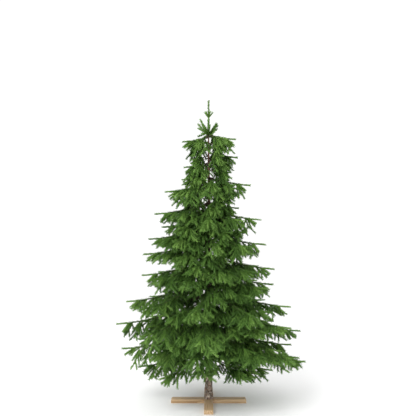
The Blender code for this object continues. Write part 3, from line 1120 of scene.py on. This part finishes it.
def build_trunk(bark, cut_wood):
    """The trunk with its bark, from the flat cut to the leader's tip."""
    heights = [*np.arange(CUT, FOOT_TOP, FOOT_STEP)]
    heights += [*np.arange(FOOT_TOP, LEADER_TIP, STEM_STEP), LEADER_TIP]
    piece = tubes("trunk_wood", [[trunk_at(height) for height in heights]], TRUNK_BEVEL)
    raise_bark(piece, lambda z: min(TRUNK_RELIEF, THIN_RELIEF * trunk_at(z)[1]), TRUNK_PLATE)
    for corner in piece.data.vertices:
        corner.co.z = max(corner.co.z, CUT)
    piece.data.materials.append(bark)
    piece.data.materials.append(cut_wood)
    for face in piece.data.polygons:
        if len(face.vertices) > 4 and face.center.z < CUT + CUT_FACES:
            face.material_index = 1
    bpy.ops.object.shade_smooth_by_angle(angle=TRUNK_SMOOTH)
    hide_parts("trunk")
    finished(piece)


def build_limbs(name, lines, bevel_resolution, bark):
    """The woody limbs of one side as one piece."""
    piece = tubes(name, lines, bevel_resolution)
    piece.data.materials.append(bark)
    bpy.ops.object.shade_smooth_by_angle(angle=BOUGH_SMOOTH)
    finished(piece)
    return piece


def needle_pieces(side, growth, greens):
    """Needles joined tier by tier from the top, up to the most that a piece takes."""
    shoots = np.array(growth.shoots)
    needles = np.linalg.norm(shoots[:, RUN], axis=1) * shoots[:, CLOSENESS] * NEEDLES_PER_METRE
    ends = list(growth.tier_ends.values())
    start, names = 0, []
    for name, end, later in zip(growth.tier_ends, ends, ends[1:] + [None]):
        names.append(name)
        if later and needles[start:later].sum() < NEEDLES_IN_PIECE:
            continue
        seed = len(names) * 100 + end  # differs from piece to piece
        corners, faces, which = needles_on(shoots[start:end], seed)
        first = names[0].split("_")[-1] if start else "top"
        label = f"needles_{side}_{first}_to_{name.split('_')[-1]}"
        piece = mesh_from(label, corners, faces, which, greens)
        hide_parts(*["mass_" + name for name in names])
        finished(piece)
        start, names = end, []


def build_crown(bark, greens):
    """Boughs, twigs, stems and needles, one side after the other."""
    for side in SIDES:
        growth = Growth()
        if side == "left":
            grow_leader(growth)
        grow_top(growth, side)
        for number in range(1, TIERS + 1):
            grow_tier(growth, side, number)
        limbs = build_limbs("boughs_" + side, growth.limbs, BOUGH_BEVEL, bark)
        raise_bark(limbs, lambda z: BOUGH_RELIEF, BOUGH_PLATE)
        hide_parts(*[f"bough_{side}_{number:02d}" for number in range(1, TIERS + 1)])
        build_limbs("twigs_" + side, growth.twigs, TWIG_BEVEL, bark)
        corners, faces, which = stems_of(np.array(growth.shoots))
        finished(mesh_from("stems_" + side, corners, faces, which, greens))
        needle_pieces(side, growth, greens)


def build_board(node, material):
    """A copy of a board with its edges broken."""
    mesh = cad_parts[node].data.copy()
    piece = only(new_object(node + "_wood", mesh))
    mesh.materials.clear()
    mesh.materials.append(material)
    bpy.ops.object.mode_set(mode="EDIT")
    bpy.ops.mesh.select_all(action="SELECT")
    bpy.ops.mesh.remove_doubles(threshold=BOARD_MERGE)
    bpy.ops.mesh.dissolve_limited(angle_limit=BOARD_FLAT)
    bpy.ops.object.mode_set(mode="OBJECT")
    edge = piece.modifiers.new("edge", "BEVEL")
    edge.width = BOARD_EDGE
    edge.segments = BOARD_SEGMENTS
    edge.limit_method = "ANGLE"
    edge.angle_limit = BOARD_CORNER
    bpy.ops.object.modifier_apply(modifier="edge")
    bpy.ops.object.shade_smooth_by_angle(angle=BOARD_SMOOTH)
    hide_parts(node)
    finished(piece)


# Stage


def build_floor():
    bpy.ops.object.select_all(action="DESELECT")
    bpy.ops.mesh.primitive_plane_add(size=2 * FLOOR_HALF, location=(0.0, 0.0, 0.0))
    floor = bpy.context.object
    floor.name = "floor"
    material, _, shader = new_material("floor")
    shader.inputs["Base Color"].default_value = (FLOOR_GREY, FLOOR_GREY, FLOOR_GREY, 1.0)
    shader.inputs["Roughness"].default_value = FLOOR_ROUGHNESS
    floor.data.materials.append(material)


def build_light():
    """A white sky, and one large soft lamp from the left front."""
    world = bpy.data.worlds.new("studio")
    bpy.context.scene.world = world
    world.use_nodes = True
    sky = world.node_tree.nodes["Background"]
    sky.inputs["Color"].default_value = (1.0, 1.0, 1.0, 1.0)
    sky.inputs["Strength"].default_value = SKY_STRENGTH
    lamp = bpy.data.lights.new("key", "AREA")
    lamp.shape = "DISK"
    lamp.size = KEY_SIZE
    lamp.energy = KEY_POWER
    key = new_object("key", lamp)
    key.location = KEY_PLACE
    key.rotation_euler = (Vector(KEY_AIM) - Vector(KEY_PLACE)).to_track_quat("-Z", "Y").to_euler()


def build_camera():
    lens = bpy.data.cameras.new("camera")
    lens.lens = CAMERA_LENS
    lens.sensor_width = CAMERA_SENSOR
    camera = new_object("camera", lens)
    camera.location = CAMERA_PLACE
    camera.rotation_euler = (math.pi / 2, 0.0, 0.0)
    bpy.context.scene.camera = camera
    bpy.context.scene.view_settings.view_transform = "Standard"


def main():
    build_camera()
    build_floor()
    build_light()
    plates = bark_group()
    wood = wood_group()
    along_x = board_wood(wood, "board_wood_along_x", 0.0)
    along_y = board_wood(wood, "board_wood_along_y", math.pi / 2)
    build_board("stand_board_lower", along_x)
    build_board("stand_board_upper", along_y)
    build_trunk(trunk_bark(plates), along_x)
    greens = [needle_green(number, colour) for number, colour in enumerate(GREENS, start=1)]
    build_crown(twig_bark(plates), greens)


main()
